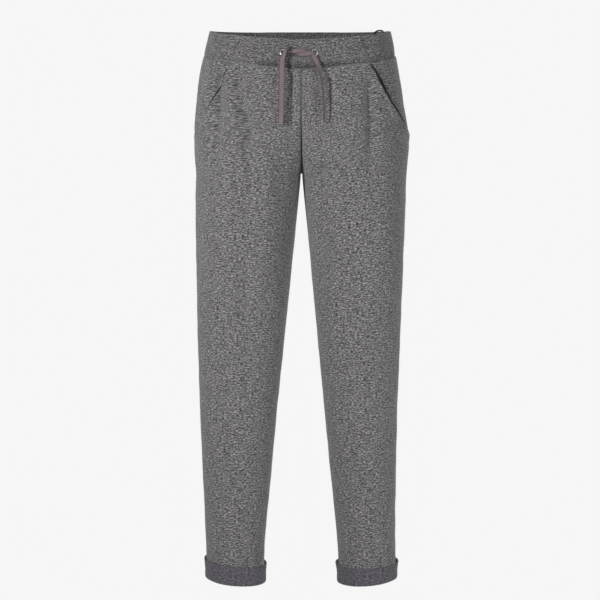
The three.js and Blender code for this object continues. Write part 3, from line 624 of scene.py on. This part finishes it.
# Small gathers where the cloth is drawn into the band: x in the front view, length, half the width, and depth
GATHERS = [
    (-98, 26, 3.2, 0.7), (-82, 18, 2.8, 0.5), (-71, 30, 3.4, 0.8), (-52, 20, 3.0, 0.6), (-41, 34, 3.6, 0.8),
    (-24, 22, 3.0, 0.6), (-12, 28, 3.2, 0.7), (14, 24, 3.0, 0.7), (43, 30, 3.4, 0.8), (58, 20, 2.8, 0.5),
    (69, 32, 3.4, 0.8), (86, 22, 3.0, 0.6), (97, 28, 3.2, 0.7), (111, 18, 2.8, 0.5),
]
BAND_FOOT = {-1: -62.0, 1: -24.0}  # the height of the seam under the band, at the front and the back
BAND_CURVE = 0.0006  # how fast that seam rises to the sides, in mm for each square mm of x


FACING = {"from": 0.12, "over": 0.35}  # how squarely the cloth faces the front or back where creases begin
BAND_CLEAR = {"above": 6.0, "over": 26.0}  # creases fade in from the seam under the band
WAVER = [(0.22, 23.0), (0.12, 9.7)]  # share of a crease's depth, and length of the wave over 2 pi


def crease_depth(x, z, line, half, depth):
    """How deep a crease is at each place of the front view. It fades at both ends and wavers on its way."""
    line = np.array(line, float)
    steps = np.linalg.norm(np.diff(line, axis=0), axis=1)
    starts = np.concatenate([[0], np.cumsum(steps)])
    nearest = np.full(len(x), 1e9)
    along = np.zeros(len(x))
    for (ax, az), (bx, bz), step, start in zip(line, line[1:], steps, starts):
        share = ((x - ax) * (bx - ax) + (z - az) * (bz - az)) / step**2
        share = np.clip(share, 0, 1)
        distance = np.hypot(x - ax - share * (bx - ax), z - az - share * (bz - az))
        closer = distance < nearest
        nearest = np.where(closer, distance, nearest)
        along = np.where(closer, (start + share * step) / starts[-1], along)
    waver = 1 + sum(
        share * np.sin(along * starts[-1] / period + shift) for (share, period), shift in zip(WAVER, line[0])
    )
    fade = ease(along / 0.3) * ease((1 - along) / 0.35)
    return depth * waver * fade * np.exp(-((nearest / half) ** 2))


def creased(places, out, creases, facing):
    x, _, z = places.T
    weight = ease((facing * out[:, 1] - FACING["from"]) / FACING["over"])
    depth = sum(crease_depth(x, z, *crease) for crease in creases)
    from_band = ease((BAND_FOOT[facing] + BAND_CLEAR["above"] - z) / BAND_CLEAR["over"])
    return depth * weight * from_band


def gathered(places, out):
    x, _, z = places.T
    below = BAND_FOOT[-1] - z + BAND_CURVE * x**2
    weight = ease((-out[:, 1] - FACING["from"]) / FACING["over"])
    under_band = below > -BAND_CLEAR["above"]
    depth = sum(
        deep * np.exp(-(((x - middle) / half) ** 2)) * ease((length - below) / length)
        for middle, length, half, deep in GATHERS
    )
    return depth * under_band * weight


def rumpled(places, sizes):
    """Uneven swell of worn cloth: (period, height) pairs, in mm."""
    swell = np.zeros(len(places))
    for period, height in sizes:
        swell += height * np.array([noise.noise(Vector(p) / period) for p in places])
    return swell


# The pocket mouth in the front view. Down its length come the place of the free edge past its line, how far
# that edge is lifted, and how wide and deep the shadowed opening is.
MOUTH = {"top": (126, -56), "foot": (193, -167), "bow": 6.7}
MOUTH_REACH = 14
EDGE_DOWN = (0, 0.1, 0.2, 0.4, 0.7, 0.9, 1)
OPENINGS = {
    "right": {
        "edge": (0.4, 0.4, 0.6, 0.7, 1.1, 0.7, 0.5),
        "lift": 0.3,
        "depth": 9.0,
        "down": (0, 0.05, 0.17, 0.45, 0.58, 0.7),
        "width": (0, 0.5, 1.5, 1.5, 0.7, 0),
    },
    "left": {
        "edge": (0.6, 1.0, 1.4, 2.8, 3.9, 3.2, 2.9),
        "lift": 1.8,
        "depth": 22.0,
        "down": (0, 0.17, 0.35, 0.6, 1),
        "width": (1.4, 6.0, 4.2, 3.3, 2.8),
    },
}
OPENING_TURN = 0.2  # how far the panel also moves towards the middle, as a share of its move inwards
SWAY = {"z": (-197, -168, -136, -102, -66, -19, 24), "by": (0, 0, 1.5, 3.0, 3.5, 3.2, 2.0)}
HALF_WIDTH = 184.0

# How deep the cloth is drawn in at a seam, half how wide, and how far from a pocket mouth it stays
SEAM_DIP = {"depth": 3.0, "half": 1.7, "clear_of_mouth": 9.0}
# Shallower ends of the band's seams, past a distance from the middle and above its lower edge
BAND_EASE = {"right": 0.75, "left": 0.5, "from": 60.0, "over": 20.0, "above": -58.0, "up": 6.0}
# Shallower at the centre seam, near the middle
CENTRE_EASE = {"by": 0.6, "within": 9.0, "over": 4.0}

# By height: the crease down the centre seam, and the fullness of the thighs' cloth above the fork
CENTRE_LINE = {
    "z": (-400, -237, -226, -190, -170, -155, -66, 60),
    "deep": (0, 0, 14, 9, 5, 1.8, 0.9, 0.9),
    "half": 1.2,
}
FULLNESS = {
    "z": (-430, -340, -285, -250, -236, -220, -205, -190, -170, -140),
    "by": (0, 5, 10, 14.5, 16, 15, 11, 8, 3, 0),
    "half": 21.0,
    "from": 4.0,
    "over": 30.0,
}
FORK = {"wide": 2.8, "high": 8.0, "from": -212.0, "over": 18.0}


def unswayed(x, z, side):
    """Distance from the centre front before the garment's slight lean to the wearer's right."""
    return np.abs(x) + side * np.interp(z, SWAY["z"], SWAY["by"]) * np.abs(x) / HALF_WIDTH


def past_mouth(x, z, side):
    """How far a place lies past the pocket mouth's line, towards the side, and how far down the mouth."""
    (x0, z0), (x1, z1) = MOUTH["top"], MOUTH["foot"]
    along = (z0 - z) / (z0 - z1)
    line = x0 + (x1 - x0) * along - np.maximum(0, 4 * MOUTH["bow"] * along * (1 - along))
    slant = math.cos(math.atan2(x1 - x0, z0 - z1))
    return (unswayed(x, z, side) - line) * slant, along


def refine_beside_mouth(piece, side):
    """Smaller faces on the strip of the hip panel beside the pocket mouth."""
    mesh = piece.data
    centres = np.array([p.center for p in mesh.polygons]) / MM
    past, along = past_mouth(centres[:, 0], centres[:, 2], side)
    beside = (np.abs(past - 1) < MOUTH_REACH) & (along > -0.2) & (along < 1.1)
    mesh.polygons.foreach_set("select", beside)
    mesh.edges.foreach_set("select", np.zeros(len(mesh.edges), bool))
    mesh.vertices.foreach_set("select", np.zeros(len(mesh.vertices), bool))
    only(piece)
    bpy.ops.object.mode_set(mode="EDIT")
    bpy.ops.mesh.select_mode(type="FACE")
    bpy.ops.mesh.subdivide(number_cuts=1)
    bpy.ops.object.mode_set(mode="OBJECT")


def pocket_opening(places, side_name):
    """The hip panel falls away beside the front's free edge, so that the pocket stands a little open."""
    opening = OPENINGS[side_name]
    past, along = past_mouth(places[:, 0], places[:, 2], SIDES[side_name])
    past = past - np.interp(along, EDGE_DOWN, opening["edge"])
    width = np.interp(along, opening["down"], opening["width"])
    deep = opening["depth"] * (width / max(opening["width"])) ** 0.5 * (1 - 0.6 * ease((along - 0.7) / 0.3))
    ends = ease((along + 0.06) / 0.06) * ease((1.08 - along) / 0.08)
    return deep * ends * (1 - ease((past - width) / 1.0)) * ease((past + MOUTH_REACH) / 7)


def lifted_edge(places, side_name):
    """The front's free edge stands off the hip panel, most of all in the lower half of the mouth."""
    past, along = past_mouth(places[:, 0], places[:, 2], SIDES[side_name])
    window = ease((along - 0.15) / 0.4) * ease((1.12 - along) / 0.12)
    return OPENINGS[side_name]["lift"] * window * ease((past + 12) / 12)


def seam_dip(piece, places, side):
    """The cloth is drawn in along each seam, but not at the free edge of a pocket mouth. The same share is
    kept as the seam attribute, which the marl cloth turns into painted shade along the seam.
    """
    mesh = piece.data
    values = np.zeros(len(mesh.edges), np.float32)
    mesh.attributes["crease_edge"].data.foreach_get("value", values)
    pairs = np.zeros(len(mesh.edges) * 2, np.int32)
    mesh.edges.foreach_get("vertices", pairs)
    pairs = pairs.reshape(-1, 2)[values > 0.5]
    tree = kdtree.KDTree(len(pairs) * 2)
    for i, (a, b) in enumerate(pairs):
        tree.insert(places[a], 2 * i)
        tree.insert((places[a] + places[b]) / 2, 2 * i + 1)
    tree.balance()
    near = np.array([tree.find(p)[2] for p in places])
    past, along = past_mouth(places[:, 0], places[:, 2], side)
    at_mouth = (np.abs(past) < SEAM_DIP["clear_of_mouth"]) & (along > 0.02) & (along < 1.05)
    x, _, z = places.T
    if piece.name.startswith("waistband"):
        eased = np.where(x < 0, BAND_EASE["right"], BAND_EASE["left"])
        outer = ease((np.abs(x) - BAND_EASE["from"]) / BAND_EASE["over"])
        pressed = 1 - eased * outer * ease((z - BAND_EASE["above"]) / BAND_EASE["up"])
    else:
        pressed = 1 - CENTRE_EASE["by"] * ease((CENTRE_EASE["within"] - np.abs(x)) / CENTRE_EASE["over"])
    dip_and_shade = pressed * np.exp(-((near / SEAM_DIP["half"]) ** 2)) * ~at_mouth
    # The seam attribute drives painted shade in the marl cloth's colour, as well as the dip below.
    mesh.attributes.new("seam", "FLOAT", "POINT").data.foreach_set("value", dip_and_shade.astype(np.float32))
    return SEAM_DIP["depth"] * dip_and_shade


def centre_line(places):
    """The crease down the centre seam, which deepens where the thighs meet above the fork."""
    deep = np.interp(places[:, 2], CENTRE_LINE["z"], CENTRE_LINE["deep"])
    return deep * np.exp(-np.abs(places[:, 0]) / CENTRE_LINE["half"])


def fullness(places):
    """The thighs' cloth stands full at the front, on both sides of the crease above the fork."""
    x, y, z = places.T
    beside = np.exp(-((np.maximum(np.abs(x) - FULLNESS["from"], 0) / FULLNESS["half"]) ** 2))
    at_front = ease((-y - FULLNESS["from"]) / FULLNESS["over"])
    return np.interp(z, FULLNESS["z"], FULLNESS["by"]) * beside * at_front


def pointed_fork(places):
    """The four panels' seams run together to a point above the gap between the legs."""
    x, _, z = places.T
    near_middle = np.clip(1 - np.abs(x) / FORK["wide"], 0, 1)
    return FORK["high"] * near_middle * ease((FORK["from"] - z) / FORK["over"])


COURSE_TILT = {"right": 0.03, "left": 0.26}  # slope of the knitted courses at the hip
TILT_FADE = {"from": -620.0, "over": 420.0}


def cloth_map(mesh, across, up):
    """A UV map in metres, from a distance across and a distance up for each point, in mm."""
    layer = mesh.uv_layers.get("cloth") or mesh.uv_layers.new(name="cloth")
    index = np.zeros(len(mesh.loops), np.int32)
    mesh.loops.foreach_get("vertex_index", index)
    both = np.stack([across[index], up[index]], 1) * MM
    layer.data.foreach_set("uv", both.astype(np.float32).ravel())
    mesh.uv_layers.active = layer


def grain_map(piece, side, facing, tilt=0.0):
    """The cloth's pattern runs round the leg and up it, with its courses on a slope at the hip."""
    places = places_of(piece.data)
    x, _, z = places.T
    slope = tilt * ease((z - TILT_FADE["from"]) / TILT_FADE["over"])
    cloth_map(piece.data, girth(places, side, facing), z - slope * x)


def face_and_reverse_or_shade(piece, side, face, reverse_or_shaded_face):
    """The face cloth outside, and on the walls that look inwards its reverse, or on the band a darker copy of
    the face cloth, which is painted shade.
    """
    mesh = piece.data
    mesh.materials.append(face)
    mesh.materials.append(reverse_or_shaded_face)
    centres = np.zeros(len(mesh.polygons) * 3, np.float32)
    normals = np.zeros(len(mesh.polygons) * 3, np.float32)
    mesh.polygons.foreach_get("center", centres)
    mesh.polygons.foreach_get("normal", normals)
    out = outward(centres.reshape(-1, 3).astype(float) / MM, side)
    inner = (normals.reshape(-1, 3) * out).sum(1) < -0.3
    mesh.polygons.foreach_set("material_index", inner.astype(np.int32))
    mesh.update()


# Uneven swell of each cloth: how long and how high its waves are, in mm
PANEL_SWELL = [(34, 0.7), (13, 0.3)]
TURN_UP_SWELL = [(30, 0.8), (11, 0.4)]
BAND_SWELL = [(28, 0.4)]
# The band's own ripple: waves to a radian round it, and their length up it and height, in mm
BAND_RIPPLE = {"round": 16, "period": 60, "height": 0.5}
INNER_THIGH = 14.0  # no swell at the centre seam, and all of it this far from there
CENTRE_SEAM = {"within": 0.6, "gap": 0.02}  # points this near the middle are put this far from it


def panel(node, side_name, facing):
    side = SIDES[side_name]
    piece = shell_of(node, f"{node}_cloth", 3)
    has_mouth = node.startswith("hip_panel")
    if has_mouth:
        refine_beside_mouth(piece, side)
    before = places_of(piece.data)
    at_centre = np.abs(before[:, 0]) < CENTRE_SEAM["within"]
    out = outward(before, side)
    depth = seam_dip(piece, before, side)
    depth += creased(before, out, FRONT_CREASES if facing < 0 else BACK_CREASES, facing)
    if facing < 0:
        depth += gathered(before, out)
    if node.startswith("front"):
        depth -= lifted_edge(before, side_name)
    depth = depth + rumpled(before, PANEL_SWELL) * ease(np.abs(before[:, 0]) / INNER_THIGH)
    places = before - out * depth[:, None]
    places[:, 1] -= facing * centre_line(before) + fullness(before)
    if has_mouth:
        inwards = pocket_opening(before, side_name)
        places[:, 0] -= side * OPENING_TURN * inwards
        places[:, 1] += inwards
    places[:, 2] += pointed_fork(before)
    places[at_centre, 0] = CENTRE_SEAM["gap"] * side
    put_back(piece.data, places)
    grain_map(piece, side, facing, COURSE_TILT[side_name])
    face_and_reverse_or_shade(piece, side, MARL, TERRY)
    smooth(piece, 50)
    stand_for(piece, node)


def turn_up(side_name):
    side = SIDES[side_name]
    node = f"turn_up_{side_name}"
    piece = shell_of(node, f"{node}_cloth", 3, sharp=80)
    places = places_of(piece.data)
    put_back(piece.data, places - outward(places, side) * rumpled(places, TURN_UP_SWELL)[:, None])
    grain_map(piece, side, -1)
    piece.data.materials.append(TERRY)
    smooth(piece, 50)
    stand_for(piece, node)


def waistband(node, facing):
    piece = shell_of(node, f"{node}_cloth", 2, sharp=60)
    places = places_of(piece.data)
    round_band = [math.atan2(x, y) * BAND_RIPPLE["round"] for x, y, _ in places]
    up_band = places[:, 2] / BAND_RIPPLE["period"]
    ripple = np.array([noise.noise(Vector((a, b, 0.5))) for a, b in zip(round_band, up_band)])
    depth = ripple * BAND_RIPPLE["height"] + rumpled(places, BAND_SWELL) + seam_dip(piece, places, 1)
    places = places - outward(places, 1) * depth[:, None]
    put_back(piece.data, places)
    places = places_of(piece.data)
    cloth_map(piece.data, np.arctan2(places[:, 0], facing * places[:, 1]) * WAIST_RADIUS, places[:, 2])
    # The band's inward walls take the darker copy of its face cloth: painted shade.
    face_and_reverse_or_shade(piece, 1, BAND_MARL, BAND_INSIDE_SHADED)
    smooth(piece, 50)
    stand_for(piece, node)


def eyelet(side_name):
    node = f"eyelet_{side_name}"
    piece = shell_of(node, f"{node}_ring", 2, sharp=100)
    piece.data.materials.append(NICKEL)
    smooth(piece, 60)
    stand_for(piece, node)


def hanger_loop():
    piece = shell_of("hanger_loop", "hanger_loop_ribbon", 2, sharp=80)
    x, y, z = places_of(piece.data).T
    cloth_map(piece.data, y, x + z)
    piece.data.materials.append(RIBBON)
    smooth(piece, 60)
    stand_for(piece, "hanger_loop")


# The studio
SOFTBOXES = [
    # name, place, aim, size across, watts, spread of the beam in degrees
    ("key", (-2.0, -2.35, -0.1), (0, 0, -0.2), 0.45, 9.4, 70),
    ("fill", (2.4, -2.2, -0.7), (0, 0, -1.0), 2.0, 5.6, 44),
    ("front", (0.2, -3.4, -0.8), (0, 0, -0.85), 1.6, 18, 180),
    ("right", (3.1, -0.5, -0.6), (0, 0, -0.6), 1.8, 15, 180),
    ("back", (0.6, 3.2, 0.3), (0, 0, -0.5), 2.4, 74, 180),
    ("left", (-3.1, 0.6, -0.6), (0, 0, -0.6), 1.8, 9, 180),
]


FLOOR_HEIGHT = -0.985


def studio():
    bpy.ops.mesh.primitive_circle_add(vertices=96, radius=30, fill_type="NGON", location=(0, 0, FLOOR_HEIGHT))
    floor = bpy.context.object
    floor.name = "floor"
    floor.data.materials.append(backdrop_paper())
    world = bpy.data.worlds.new("studio")
    bpy.context.scene.world = world
    world.use_nodes = True
    tree = world.node_tree
    seen = tree.nodes["Background"]
    seen.inputs["Color"].default_value = PAPER
    lit = tree.nodes.new("ShaderNodeBackground")
    lit.inputs["Color"].default_value = (AMBIENT, AMBIENT, AMBIENT, 1)
    ray = tree.nodes.new("ShaderNodeLightPath")
    mix = tree.nodes.new("ShaderNodeMixShader")
    tree.links.new(ray.outputs["Is Camera Ray"], mix.inputs["Fac"])
    tree.links.new(lit.outputs["Background"], mix.inputs[1])
    tree.links.new(seen.outputs["Background"], mix.inputs[2])
    tree.links.new(mix.outputs["Shader"], tree.nodes["World Output"].inputs["Surface"])
    for softbox_facts in SOFTBOXES:
        softbox(*softbox_facts)


photographer()
for side_name in SIDES:
    hanging_tape(side_name)
waistband("waistband_front", -1)
waistband("waistband_back", 1)
for side_name in SIDES:
    panel(f"front_{side_name}", side_name, -1)
    panel(f"hip_panel_{side_name}", side_name, -1)
    panel(f"back_{side_name}", side_name, 1)
    turn_up(side_name)
    eyelet(side_name)
hanger_loop()
studio()
bpy.context.scene.view_settings.view_transform = "Standard"
